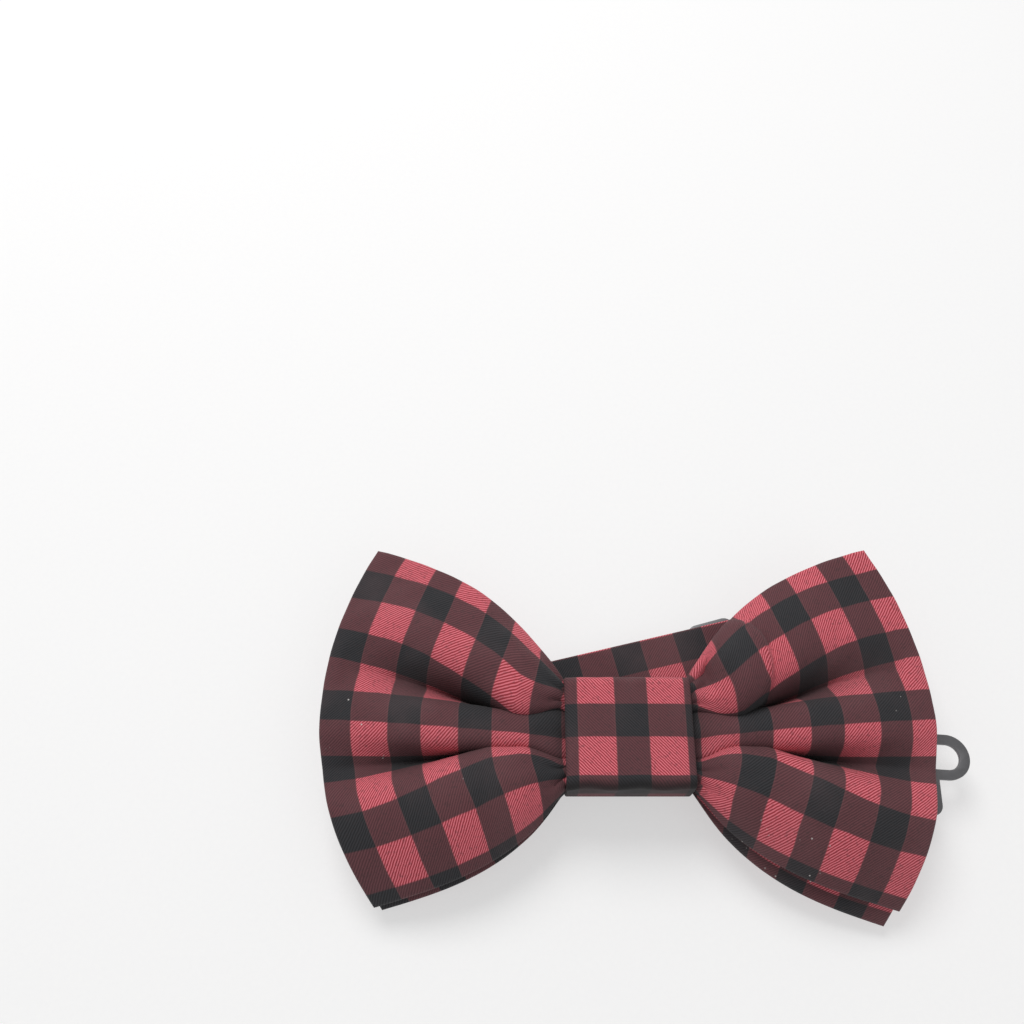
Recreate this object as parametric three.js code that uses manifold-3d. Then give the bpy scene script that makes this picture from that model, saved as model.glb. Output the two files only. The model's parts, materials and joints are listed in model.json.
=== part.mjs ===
// A ready-tied bow tie on a folded, adjustable neckband, lying face up.
// Millimetres. +X points to the viewer's right, +Y to the bow's top edge, +Z up off the table.
import * as THREE from "three";
import { mergeVertices } from "three/addons/utils/BufferGeometryUtils.js";
import Module from "manifold-3d";

// ---------------------------------------------------------------- driving sizes
const clearance = 0.3; // air between two pieces that lie against each other
const arcSteps = 8; // straight steps in each rounded stretch

// Bow: two stacked layers of folded cloth.
const bowHalfSpan = 62; // knot centre to the middle of a wing's outer edge
const topCorner = { x: 53.3, y: 40 };
const bottomCorner = { x: 51, y: -32 };
const edgeMiddleRise = 5.8; // outer edge's middle over the neckband's centre run
const topCornerRise = 4.6; // top corner over the same
const bottomCornerLift = 0.3; // the back layer's bottom corner over the table
const waistThickness = 2.4; // a layer's thickness where the knot grips it
const edgeThickness = 1.8; // and at its outer edge
const lobeHeight = 5.5; // rise of the two big folds of a wing
const ridgeShare = 0.3; // rise of the narrow middle fold, as a share of a big one
const valleyPlace = 0.22; // where the valleys run, from the middle (0) to an edge (1)
const edgeLobeShare = 0.15; // what is left of the folds at the outer edge
const backLayerShift = { x: 1.5, y: 1.6, z: 1.7 }; // how far the back layer's edge sits in, down and under

// Knot band and what it holds together.
const knotWidth = 25.4;
const knotWall = 0.9;
const knotCorner = 1.2;
const windingThickness = 0.4;
const windingWidth = 7;
const interliningThickness = 0.4;
const interliningInset = 0.8;
const threadThickness = 0.3;
const threadWidth = 0.5;
const stitchHeight = 2.6;
const stitchPitch = 1.7;
const seamMargin = 2; // from the end of a seam to the edge of the cloth

// Neckband: a flat cloth strap in three runs, folded at two creases.
const bandWidth = 20;
const bandThickness = 0.8;
const firstCreaseX = -46; // the crease behind the left wing
const secondCreaseX = 52; // the crease behind the right wing
const secondRunTurn = THREE.MathUtils.degToRad(13.5); // how far run 2 climbs
const thirdRunTurn = THREE.MathUtils.degToRad(15.5); // and run 3 under it
const creaseGap = 0.2; // from a crease's line to the end of a run's straight ply
const hemLength = 11; // sewn end of the band, from the bar it holds
const hemTaperStart = 1;
const hemTaperEnd = 5;

// Stamped metal fittings.
const plateThickness = 0.9;
const slotSpare = 0.6; // a slot's length over the band's width
const railWidth = 1.6; // metal past each end of a slot
const plateCorner = 2.2;
const turningBarWidth = 1; // bar that a band end turns round
const slotWidth = 2.6;
const outerBarWidth = 1.8;
const ringEndLean = THREE.MathUtils.degToRad(-3.5); // how the ring end lies, past the knot
const ringEndStart = 14; // where it leaves the bow's own line
const eyeBarPlace = 45; // from there to the eye's bar
const ringRadius = 4.6;
const ringHoleRadius = 2.6;
const ringNeck = 2.2; // how far the ring is drawn out towards the bar
const ringReach = 11.6; // bar to the ring's far side
const hookPlace = 100.7; // second crease to the hook's bar, along run 3
const turnLegLength = 3;
const tongueWidth = 4.4;
const tongueReach = 12.2;
const tongueReturn = 5;
const hookGap = 1.2;
const sliderPlace = 30; // second crease to the slider's middle bar, along run 3
const sliderWidth = 10.5;
const sliderBarWidth = 1.6;

// ---------------------------------------------------------------- the stack
// Heights of the layers at the knot, from the table up.
let stackTop = -clearance;
function nextLayer(thickness) {
  const low = stackTop + clearance;
  stackTop = low + thickness;
  return { low, high: stackTop, middle: (low + stackTop) / 2 };
}
const returnLayer = nextLayer(bandThickness);
const sliderBarLayer = nextLayer(plateThickness);
nextLayer(bandThickness); // the upper ply of the band's end, round the slider's middle bar
const thirdRunLayer = nextLayer(bandThickness);
const sliderFrameLayer = nextLayer(plateThickness);
const secondRunLayer = nextLayer(bandThickness);
const seamLayer = nextLayer(threadThickness);
const knotBackLayer = nextLayer(knotWall);
const centreRunLayer = nextLayer(bandThickness);
const windingUnderLayer = nextLayer(windingThickness);
const backWaistLayer = nextLayer(waistThickness);
const frontWaistLayer = nextLayer(waistThickness);
const windingOverLayer = nextLayer(windingThickness);
const interliningLayer = nextLayer(interliningThickness);
const knotFaceLayer = nextLayer(knotWall);

const knotInnerWidth = bandWidth + 2 * clearance;
const windingOuterWidth = knotInnerWidth - 2 * clearance;
const waistWidth = windingOuterWidth - 2 * (windingThickness + clearance);
const slotLength = bandWidth + slotSpare;
const plateLength = slotLength + 2 * railWidth;

// ---------------------------------------------------------------- shapes
const wasm = await Module();
wasm.setup();

// A closed geometry as a solid that can be joined and cut.
function solidOf(geometry) {
  const bare = geometry.clone();
  bare.deleteAttribute("normal");
  bare.deleteAttribute("uv");
  const merged = mergeVertices(bare, 1e-4);
  return new wasm.Manifold(
    new wasm.Mesh({
      numProp: 3,
      vertProperties: merged.attributes.position.array,
      triVerts: new Uint32Array(merged.index.array),
    }),
  );
}

function geometryOf(solid) {
  const mesh = solid.getMesh();
  const geometry = new THREE.BufferGeometry();
  geometry.setAttribute("position", new THREE.BufferAttribute(mesh.vertProperties, 3));
  geometry.setIndex(new THREE.BufferAttribute(mesh.triVerts, 1));
  geometry.computeVertexNormals();
  return geometry;
}

function join(...geometries) {
  return geometryOf(geometries.map(solidOf).reduce((whole, piece) => whole.add(piece)));
}

function cut(geometry, ...holes) {
  return geometryOf(holes.map(solidOf).reduce((whole, hole) => whole.subtract(hole), solidOf(geometry)));
}

// A flat outline in the XY plane, raised between two heights.
function plate(shape, low, high) {
  const depth = high - low;
  const geometry = new THREE.ExtrudeGeometry(shape, { depth, bevelEnabled: false, curveSegments: arcSteps });
  return geometry.translate(0, 0, low);
}

// A side outline in the XZ plane, with the same width to each side of Y = 0.
function across(shape, width) {
  const geometry = plate(shape, -width / 2, width / 2);
  return geometry.rotateX(Math.PI / 2);
}

function roundedRectangle(x0, y0, x1, y1, radius) {
  const shape = new THREE.Shape();
  shape.moveTo(x0 + radius, y0);
  shape.lineTo(x1 - radius, y0);
  shape.absarc(x1 - radius, y0 + radius, radius, -Math.PI / 2, 0);
  shape.lineTo(x1, y1 - radius);
  shape.absarc(x1 - radius, y1 - radius, radius, 0, Math.PI / 2);
  shape.lineTo(x0 + radius, y1);
  shape.absarc(x0 + radius, y1 - radius, radius, Math.PI / 2, Math.PI);
  shape.lineTo(x0, y0 + radius);
  shape.absarc(x0 + radius, y0 + radius, radius, Math.PI, 1.5 * Math.PI);
  return shape;
}

function rectangle(x0, y0, x1, y1) {
  return new THREE.Shape([
    new THREE.Vector2(x0, y0),
    new THREE.Vector2(x1, y0),
    new THREE.Vector2(x1, y1),
    new THREE.Vector2(x0, y1),
  ]);
}

// One straight ply of the band along +X. Each end is cut along its crease, which leans by a skew angle.
function bandPly(start, end, startSkew, endSkew) {
  const half = bandWidth / 2;
  const startLean = half * Math.tan(startSkew);
  const endLean = half * Math.tan(endSkew);
  return new THREE.Shape([
    new THREE.Vector2(start - startLean, -half),
    new THREE.Vector2(end - endLean, -half),
    new THREE.Vector2(end + endLean, half),
    new THREE.Vector2(start + startLean, half),
  ]);
}

// A half turn of band, open towards -X, with legs of a given length.
function halfTurn(innerRadius, legLength) {
  const outerRadius = innerRadius + bandThickness;
  const shape = new THREE.Shape();
  shape.moveTo(-legLength, outerRadius);
  shape.lineTo(-legLength, innerRadius);
  shape.absarc(0, 0, innerRadius, Math.PI / 2, -Math.PI / 2, true);
  if (legLength > 0) shape.lineTo(-legLength, -innerRadius);
  shape.lineTo(-legLength, -outerRadius);
  shape.absarc(0, 0, outerRadius, -Math.PI / 2, Math.PI / 2);
  return shape;
}

// The band's end turned round a bar at the origin and sewn back on its own straight upper ply.
function sewnLoop(innerRadius) {
  const outerRadius = innerRadius + bandThickness;
  const hemUnderside = innerRadius - bandThickness;
  const shape = new THREE.Shape();
  shape.moveTo(-hemLength, outerRadius);
  shape.lineTo(-hemLength, hemUnderside);
  shape.lineTo(-hemTaperEnd, hemUnderside);
  shape.lineTo(-hemTaperStart, -outerRadius);
  shape.absarc(0, 0, outerRadius, -Math.PI / 2, Math.PI / 2);
  const eyelet = new THREE.Path();
  eyelet.moveTo(-hemTaperStart, -innerRadius);
  eyelet.lineTo(-hemTaperEnd, innerRadius);
  eyelet.absarc(0, 0, innerRadius, Math.PI / 2, -Math.PI / 2, true);
  shape.holes.push(eyelet);
  return shape;
}

// A row of zigzag stitching along +X, as one flat thread.
function zigzag(length) {
  const turns = Math.max(2, Math.round(length / stitchPitch));
  const there = [];
  const back = [];
  for (let i = 0; i <= turns; i++) {
    const x = (i / turns - 0.5) * length;
    const y = (i % 2 ? 0.5 : -0.5) * stitchHeight;
    there.push(new THREE.Vector2(x, y - threadWidth));
    back.unshift(new THREE.Vector2(x, y + threadWidth));
  }
  return new THREE.Shape([...there, ...back]);
}

// A fitting lying flat round Z = 0: a bar that the band turns round, a slot, an outer bar, and what it carries.
function fitting(...carried) {
  const half = plateThickness / 2;
  const slotStart = turningBarWidth / 2;
  const slotEnd = slotStart + slotWidth;
  const body = roundedRectangle(
    -turningBarWidth / 2,
    -plateLength / 2,
    slotEnd + outerBarWidth,
    plateLength / 2,
    plateCorner,
  );
  const slot = rectangle(slotStart, -slotLength / 2, slotEnd, slotLength / 2);
  return cut(join(plate(body, -half, half), ...carried), plate(slot, -1, 1));
}

// ---------------------------------------------------------------- bow layers
const mix = THREE.MathUtils.lerp;
const backDrop = waistThickness + clearance + backLayerShift.z; // the back layer's outer edge below the front one's

// Height of a wing's folds across its width: big folds outside the valleys, a narrow one between them.
function foldHeight(v) {
  const place = Math.abs(v);
  if (place > valleyPlace) return Math.sin((Math.PI * (place - valleyPlace)) / (1 - valleyPlace));
  return ridgeShare * Math.cos((Math.PI / 2) * (place / valleyPlace));
}

// The middle of a layer at u (0 at the knot, 1 at the outer edge) and v (-1 bottom edge, 1 top edge).
function wingPoint(side, u, v, waistMiddle, under) {
  const share = (v + 1) / 2;
  const cornerX = mix(bottomCorner.x, topCorner.x, share) - under * backLayerShift.x;
  const edgeX = mix(bowHalfSpan - under * backLayerShift.x, cornerX, v * v);
  const edgeY = mix(bottomCorner.y, topCorner.y, share) - under * backLayerShift.y;
  const cornerHeight = v > 0 ? centreRunLayer.high + topCornerRise : bottomCornerLift + backDrop + edgeThickness / 2;
  const edgeZ = mix(centreRunLayer.high + edgeMiddleRise, cornerHeight, Math.abs(v) ** 3);
  const rootX = knotWidth / 2 + clearance;
  const opening = u + u * (1 - u) * (1.3 - 0.85 * u);
  const swell = Math.sin((Math.PI * Math.min(1, u * 1.6)) / 2) * mix(1, edgeLobeShare, u ** 3);
  return {
    x: side * mix(rootX, edgeX, u),
    y: mix((v * waistWidth) / 2, edgeY, opening),
    z: mix(waistMiddle, edgeZ - under * backDrop, u) + lobeHeight * swell * foldHeight(v),
  };
}

// A bow layer: both wings and the waist between them as one closed pad. under is 0 in front, 1 behind.
function bowLayer(waistLayer, under) {
  const columns = 9;
  const rows = 16;
  const stations = [];
  for (let i = -columns; i <= columns; i++) if (i !== 0) stations.push({ side: Math.sign(i), u: (Math.abs(i) - 1) / (columns - 1) });
  const points = [];
  for (const face of [1, -1])
    for (const { side, u } of stations)
      for (let j = 0; j <= rows; j++) {
        const middle = wingPoint(side, u, (2 * j) / rows - 1, waistLayer.middle, under);
        const thickness = mix(waistThickness, edgeThickness, u);
        points.push(middle.x, middle.y, middle.z + (face * thickness) / 2);
      }
  const row = rows + 1;
  const faceSize = stations.length * row;
  const index = [];
  const quad = (a, b, c, d) => index.push(a, b, c, a, c, d);
  for (let i = 0; i < stations.length - 1; i++) {
    for (let j = 0; j < rows; j++) {
      const corner = i * row + j;
      quad(corner, corner + row, corner + row + 1, corner + 1);
      quad(faceSize + corner, faceSize + corner + 1, faceSize + corner + row + 1, faceSize + corner + row);
    }
    const low = i * row;
    quad(low, faceSize + low, faceSize + low + row, low + row);
    const high = low + rows;
    quad(high, high + row, faceSize + high + row, faceSize + high);
  }
  const last = (stations.length - 1) * row;
  for (let j = 0; j < rows; j++) {
    quad(j, j + 1, faceSize + j + 1, faceSize + j);
    quad(last + j, faceSize + last + j, faceSize + last + j + 1, last + j + 1);
  }
  const geometry = new THREE.BufferGeometry();
  geometry.setAttribute("position", new THREE.Float32BufferAttribute(points, 3));
  geometry.setIndex(index);
  geometry.computeVertexNormals();
  return geometry;
}

// ---------------------------------------------------------------- materials
const materials = {
  cloth: { color: 0x7a2c36, roughness: 0.9, metalness: 0 },
  interlining: { color: 0xd8d4cc, roughness: 0.95, metalness: 0 },
  thread: { color: 0x2a1a1e, roughness: 0.8, metalness: 0 },
  metal: { color: 0x4a4a4e, roughness: 0.45, metalness: 0.8 },
};

function piece(name, geometry, look) {
  const mesh = new THREE.Mesh(geometry, new THREE.MeshStandardMaterial(materials[look]));
  mesh.name = name;
  return mesh;
}

// ---------------------------------------------------------------- knot and bow
function knotRing(low, high, innerWidth, wall, corner) {
  const half = innerWidth / 2 + wall;
  const shape = roundedRectangle(-half, low, half, high, corner);
  shape.holes.push(roundedRectangle(-innerWidth / 2, low + wall, innerWidth / 2, high - wall, corner - wall));
  return shape;
}

// Turns a ring drawn across the bow (its own Y up) to run along X.
function alongX(geometry) {
  return geometry.rotateX(Math.PI / 2).rotateZ(Math.PI / 2);
}

function knotPieces() {
  const band = knotRing(knotBackLayer.low, knotFaceLayer.high, knotInnerWidth, knotWall, knotCorner);
  const windingInnerWidth = windingOuterWidth - 2 * windingThickness;
  const winding = knotRing(
    windingUnderLayer.low,
    windingOverLayer.high,
    windingInnerWidth,
    windingThickness,
    2 * windingThickness,
  );
  const liningX = knotWidth / 2 - interliningInset;
  const liningY = waistWidth / 2 - interliningInset;
  return [
    piece("front_bow", bowLayer(frontWaistLayer, 0), "cloth"),
    piece("back_bow", bowLayer(backWaistLayer, 1), "cloth"),
    piece("waist_thread", alongX(plate(winding, -windingWidth / 2, windingWidth / 2)), "thread"),
    piece(
      "knot_interlining",
      plate(rectangle(-liningX, -liningY, liningX, liningY), interliningLayer.low, interliningLayer.high),
      "interlining",
    ),
    piece("knot_band", alongX(plate(band, -knotWidth / 2, knotWidth / 2)), "cloth"),
    piece("knot_seam_stitches", plate(zigzag(knotWidth - 2 * seamMargin), seamLayer.low, seamLayer.high), "thread"),
  ];
}

// ---------------------------------------------------------------- neckband
// The middle run, held behind the knot, from the first crease to its sewn end round the eye's bar.
const eyeLoopRadius = plateThickness / 2 + clearance;
const eyeHeight = centreRunLayer.low - eyeLoopRadius;

function onRingEnd(geometry, place) {
  return geometry.translate(place, 0, 0).rotateZ(ringEndLean).translate(ringEndStart, 0, 0);
}

function centreRun() {
  const ply = bandPly(firstCreaseX + creaseGap, ringEndStart, -secondRunTurn / 2, 0);
  const leaning = bandPly(-1, eyeBarPlace - hemLength + clearance, 0, 0);
  const loop = across(sewnLoop(eyeLoopRadius), bandWidth).translate(0, 0, eyeHeight);
  return join(
    plate(ply, centreRunLayer.low, centreRunLayer.high),
    onRingEnd(plate(leaning, centreRunLayer.low, centreRunLayer.high), 0),
    onRingEnd(loop, eyeBarPlace),
  );
}

function hemStitches(low) {
  const seam = plate(zigzag(bandWidth - 2 * seamMargin), low, low + threadThickness);
  return seam.rotateZ(Math.PI / 2);
}

// The half turn of cloth at a crease between two runs, which lies at angle across the bow.
function creaseTurn(upper, lower, angle) {
  const innerRadius = (upper.low - lower.high) / 2;
  const middle = (upper.low + lower.high) / 2;
  return across(halfTurn(innerRadius, 0), bandWidth).rotateZ(angle).translate(0, 0, middle);
}

const hemPlace = (hemLength + hemTaperEnd) / 2; // middle of the sewn hem, from its bar
const hemUnderside = eyeHeight + eyeLoopRadius - bandThickness;

function eyePiece() {
  const ringX = ringReach - ringRadius;
  const half = plateThickness / 2;
  const drawn = (radius) => roundedRectangle(ringX - ringNeck - radius, -radius, ringX + radius, radius, radius);
  return cut(fitting(plate(drawn(ringRadius), -half, half)), plate(drawn(ringHoleRadius), -1, 1));
}

// Everything past the second crease lies along its own +X, from the crease to the hook.
const turnHeight = (thirdRunLayer.low + returnLayer.high) / 2;
const turnRadius = (thirdRunLayer.low - returnLayer.high) / 2;
const sliderBarHeight = sliderBarLayer.middle;

function hookPiece() {
  const half = plateThickness / 2;
  const radius = hookGap / 2;
  const bend = radius + plateThickness;
  const bendX = tongueReach - bend;
  const rootX = turningBarWidth / 2 + slotWidth + clearance;
  const tongue = new THREE.Shape();
  tongue.moveTo(rootX, half);
  tongue.lineTo(rootX, -half);
  tongue.absarc(bendX, half + radius, bend, -Math.PI / 2, Math.PI / 2);
  tongue.lineTo(bendX - tongueReturn, half + hookGap + plateThickness);
  tongue.lineTo(bendX - tongueReturn, half + hookGap);
  tongue.absarc(bendX, half + radius, radius, Math.PI / 2, -Math.PI / 2, true);
  return fitting(across(tongue, tongueWidth));
}

function sliderPiece() {
  const frame = roundedRectangle(-sliderWidth / 2, -plateLength / 2, sliderWidth / 2, plateLength / 2, plateCorner);
  const windowX = sliderWidth / 2 - sliderBarWidth;
  frame.holes.push(rectangle(-windowX, -slotLength / 2, windowX, slotLength / 2));
  const barX = turningBarWidth / 2;
  const legEnd = (slotLength + railWidth) / 2;
  const bar = plate(rectangle(-barX, -legEnd, barX, legEnd), sliderBarLayer.low, sliderBarLayer.high);
  const legs = [-1, 1].map((side) => {
    const legStart = (side * slotLength) / 2;
    const [low, high] = [legStart, side * legEnd].sort((a, b) => a - b);
    const overlap = plateThickness / 2;
    return plate(rectangle(-barX, low, barX, high), sliderBarLayer.middle, sliderFrameLayer.low + overlap);
  });
  return join(plate(frame, sliderFrameLayer.low, sliderFrameLayer.high), bar, ...legs);
}

function thirdRunPieces() {
  const runEnd = hookPlace - turnLegLength - clearance;
  const skew = (thirdRunTurn - secondRunTurn) / 2;
  const run = bandPly(creaseGap, runEnd, skew, 0);
  const returnStart = sliderPlace + hemLength + clearance;
  const back = rectangle(returnStart, -bandWidth / 2, runEnd, bandWidth / 2);
  const turn = across(halfTurn(turnRadius, turnLegLength), bandWidth).translate(hookPlace, 0, turnHeight);
  const wrap = across(sewnLoop(eyeLoopRadius), bandWidth).rotateY(Math.PI);
  const stitchesLow = 2 * bandThickness + clearance;
  return [
    piece("neckband_run_3", plate(run, thirdRunLayer.low, thirdRunLayer.high), "cloth"),
    piece("neckband_return", plate(back, returnLayer.low, returnLayer.high), "cloth"),
    piece("hook_end_turn", turn, "cloth"),
    piece("hook", hookPiece().translate(hookPlace, 0, turnHeight), "metal"),
    piece("slider", sliderPiece().translate(sliderPlace, 0, 0), "metal"),
    piece("slider_end_wrap", wrap.translate(sliderPlace, 0, sliderBarHeight), "cloth"),
    piece("slider_end_stitches", hemStitches(stitchesLow).translate(sliderPlace + hemPlace, 0, 0), "thread"),
  ];
}

function secondRunLength() {
  return (secondCreaseX - firstCreaseX) / Math.cos(secondRunTurn);
}

function neckbandPieces() {
  const firstTurn = creaseTurn(centreRunLayer, secondRunLayer, Math.PI + secondRunTurn / 2);
  const secondTurn = creaseTurn(secondRunLayer, thirdRunLayer, (thirdRunTurn + secondRunTurn) / 2);
  const length = secondRunLength();
  const endSkew = -(thirdRunTurn - secondRunTurn) / 2;
  const eyeSeam = hemStitches(hemUnderside - clearance - threadThickness);
  const secondRun = bandPly(creaseGap, length - creaseGap, secondRunTurn / 2, endSkew);
  const secondRunGroup = new THREE.Group();
  secondRunGroup.position.set(firstCreaseX, 0, 0);
  secondRunGroup.rotation.z = secondRunTurn;
  secondRunGroup.add(piece("neckband_run_2", plate(secondRun, secondRunLayer.low, secondRunLayer.high), "cloth"));
  const thirdRunGroup = new THREE.Group();
  const creaseY = length * Math.sin(secondRunTurn);
  thirdRunGroup.position.set(secondCreaseX, creaseY, 0);
  thirdRunGroup.rotation.z = Math.PI + thirdRunTurn;
  thirdRunGroup.add(...thirdRunPieces());
  return [
    piece("neckband_center", centreRun(), "cloth"),
    piece("eye_end_stitches", onRingEnd(eyeSeam, eyeBarPlace - hemPlace), "thread"),
    piece("eye", onRingEnd(eyePiece().translate(0, 0, eyeHeight), eyeBarPlace), "metal"),
    piece("neckband_fold_1", firstTurn.translate(firstCreaseX, 0, 0), "cloth"),
    secondRunGroup,
    piece("neckband_fold_2", secondTurn.translate(secondCreaseX, creaseY, 0), "cloth"),
    thirdRunGroup,
  ];
}

// ---------------------------------------------------------------- the whole tie
const tie = new THREE.Group();
tie.add(...knotPieces(), ...neckbandPieces());

// The origin is under the middle of the whole tie, on the table.
const extent = new THREE.Box3().setFromObject(tie, true);
const centre = extent.getCenter(new THREE.Vector3());
tie.position.set(-centre.x, -centre.y, -extent.min.z);

const bowTie = new THREE.Group();
bowTie.add(tie);

export default bowTie;
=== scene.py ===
import json
import math

import bmesh
import bpy
import numpy as np
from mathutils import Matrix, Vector

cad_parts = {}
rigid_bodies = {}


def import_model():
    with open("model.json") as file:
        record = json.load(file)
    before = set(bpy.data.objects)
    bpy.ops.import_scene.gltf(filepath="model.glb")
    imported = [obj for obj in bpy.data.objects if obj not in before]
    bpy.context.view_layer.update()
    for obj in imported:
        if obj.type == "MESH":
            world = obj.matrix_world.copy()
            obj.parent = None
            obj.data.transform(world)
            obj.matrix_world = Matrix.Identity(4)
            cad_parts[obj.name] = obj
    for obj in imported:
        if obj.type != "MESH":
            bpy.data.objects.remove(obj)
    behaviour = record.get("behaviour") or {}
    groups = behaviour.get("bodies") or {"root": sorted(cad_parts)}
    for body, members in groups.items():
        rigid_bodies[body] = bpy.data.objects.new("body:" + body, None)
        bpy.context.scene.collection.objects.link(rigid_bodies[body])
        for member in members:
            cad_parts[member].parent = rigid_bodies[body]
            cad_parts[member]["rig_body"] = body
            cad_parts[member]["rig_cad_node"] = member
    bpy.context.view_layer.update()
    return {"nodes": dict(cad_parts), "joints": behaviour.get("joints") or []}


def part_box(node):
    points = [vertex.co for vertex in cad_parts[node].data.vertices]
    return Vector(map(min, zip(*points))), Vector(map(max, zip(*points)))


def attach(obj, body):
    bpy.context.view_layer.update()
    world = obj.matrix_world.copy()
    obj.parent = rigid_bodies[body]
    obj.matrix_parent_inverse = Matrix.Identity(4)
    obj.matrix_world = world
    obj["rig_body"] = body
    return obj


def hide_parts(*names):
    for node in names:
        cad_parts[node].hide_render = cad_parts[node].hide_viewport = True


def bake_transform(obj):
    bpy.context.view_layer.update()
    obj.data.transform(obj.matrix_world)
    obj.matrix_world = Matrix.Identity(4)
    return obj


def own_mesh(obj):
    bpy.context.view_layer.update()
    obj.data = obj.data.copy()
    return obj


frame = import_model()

bpy.ops.object.select_all(action="DESELECT")

# ---------------------------------------------------------------- camera, lights and paper
# The tie lies face up on a pale sheet of paper, looked down on from in front of its lower edge. A
# broad soft light stands behind it, with a weak fill in front and a white room all round.
camera_data = bpy.data.cameras.new("camera")
camera_data.lens = 35.16
camera_data.sensor_width = 36
camera_data.clip_start = 0.01
camera = bpy.data.objects.new("camera", camera_data)
camera.location = (-0.0275, -0.04925, 0.2148)
camera.rotation_euler = (math.radians(25.5), 0, 0)
bpy.context.scene.collection.objects.link(camera)
bpy.context.scene.camera = camera


def soft_light(name, place, target, size, power, tint=(1, 1, 1)):
    data = bpy.data.lights.new(name, "AREA")
    data.shape = "DISK"
    data.size = size
    data.energy = power
    data.color = tint
    light = bpy.data.objects.new(name, data)
    light.location = place
    light.rotation_euler = (Vector(target) - Vector(place)).to_track_quat("-Z", "Y").to_euler()
    bpy.context.scene.collection.objects.link(light)
    return light


soft_light("window_light", (-0.18, 0.42, 0.62), (0, 0, 0), 0.42, 3.3, (1, 0.99, 0.98))
soft_light("front_fill", (0.30, -0.42, 0.55), (0, 0, 0), 0.5, 0.2)

world = bpy.data.worlds.new("white_room")
world.use_nodes = True
world.node_tree.nodes["Background"].inputs["Color"].default_value = (1, 1, 1, 1)
world.node_tree.nodes["Background"].inputs["Strength"].default_value = 0.40
bpy.context.scene.world = world
bpy.context.scene.view_settings.view_transform = "Standard"


class Sock:
    """A value in a material that Python can add, multiply and compare; each step adds a node."""

    def __init__(self, material, socket):
        self.material = material
        self.socket = socket

    def _math(self, operation, *values):
        return node(self.material, "ShaderNodeMath", {"operation": operation}, dict(enumerate(values)))

    def __add__(self, other):
        return self._math("ADD", self, other)

    def __sub__(self, other):
        return self._math("SUBTRACT", self, other)

    def __rsub__(self, other):
        return self._math("SUBTRACT", other, self)

    def __mul__(self, other):
        return self._math("MULTIPLY", self, other)

    def __lt__(self, other):
        return self._math("LESS_THAN", self, other)

    __radd__ = __add__
    __rmul__ = __mul__

    def wrap(self):
        return self._math("FRACT", self)

    def away(self):
        return self._math("ABSOLUTE", self)

    def sine(self):
        return self._math("SINE", self)

    def at_most(self, other):
        return self._math("MINIMUM", self, other)

    def step(self, low, high):
        """0 below low and 1 above high, with a smooth ramp between."""
        settings = {"interpolation_type": "SMOOTHSTEP"}
        values = {"Value": self, "From Min": low, "From Max": high}
        return node(self.material, "ShaderNodeMapRange", settings, values)


def node(material, kind, settings=None, values=None, output=0):
    """Adds a node: its settings are set first, then its sockets get values or links."""
    made = material.node_tree.nodes.new(kind)
    for name, value in (settings or {}).items():
        setattr(made, name, value)
    for name, value in (values or {}).items():
        if isinstance(value, Sock):
            material.node_tree.links.new(value.socket, made.inputs[name])
        else:
            made.inputs[name].default_value = value
    return Sock(material, made.outputs[output])


def mixed(first, second, share):
    """A colour between two, each a socket or a plain colour."""
    material = share.material
    return node(material, "ShaderNodeMix", {"data_type": "RGBA"}, {0: share, 6: first, 7: second}, 2)


def shader(name, **values):
    material = bpy.data.materials.new(name)
    material.use_nodes = True
    principled = material.node_tree.nodes["Principled BSDF"]
    for socket, value in values.items():
        principled.inputs[socket.replace("_", " ")].default_value = value
    return material


def feed(material, socket, value):
    principled = material.node_tree.nodes["Principled BSDF"]
    material.node_tree.links.new(value.socket, principled.inputs[socket])


def coordinates(material, kind="Object"):
    return node(material, "ShaderNodeTexCoord", output={"Object": 3, "UV": 2}[kind])


def noise(material, where, scale, detail=2.0, output=0, **settings):
    values = {"Vector": where, "Scale": scale, "Detail": detail}
    values.update(settings)
    return node(material, "ShaderNodeTexNoise", None, values, output)


paper = shader("paper", Roughness=0.9, Emission_Color=(1, 1, 1, 1), Emission_Strength=0.5)
paper_grain = noise(paper, coordinates(paper), 900.0, 3.0)
feed(paper, "Base Color", mixed((0.47, 0.47, 0.475, 1), (0.50, 0.50, 0.50, 1), paper_grain))
bpy.ops.mesh.primitive_plane_add(size=6, location=(0, 0, -0.0002))
floor = bpy.context.object
floor.name = "floor"
floor.data.materials.append(paper)

# ---------------------------------------------------------------- check cloth
# Matt cotton twill, woven from red and near-black yarn in stripes both ways. Where red crosses red
# the diagonal of the twill shows; where red crosses black it turns maroon.
CHECK = 0.014  # one red stripe and one black stripe
RED_SHARE = 0.53
TWILL_LINES = 22  # diagonals in one check
MM = 0.001
STRIPE_EDGE = 0.5 - RED_SHARE / 2  # from a black stripe's middle to the red, as a share of a check
EDGE_BLUR = 0.012  # how far the yarns of one stripe stray into the next, as a share of a check


def bump(material, height, distance, strength=1.0):
    values = {"Height": height, "Distance": distance, "Strength": strength}
    return node(material, "ShaderNodeBump", None, values)


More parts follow.
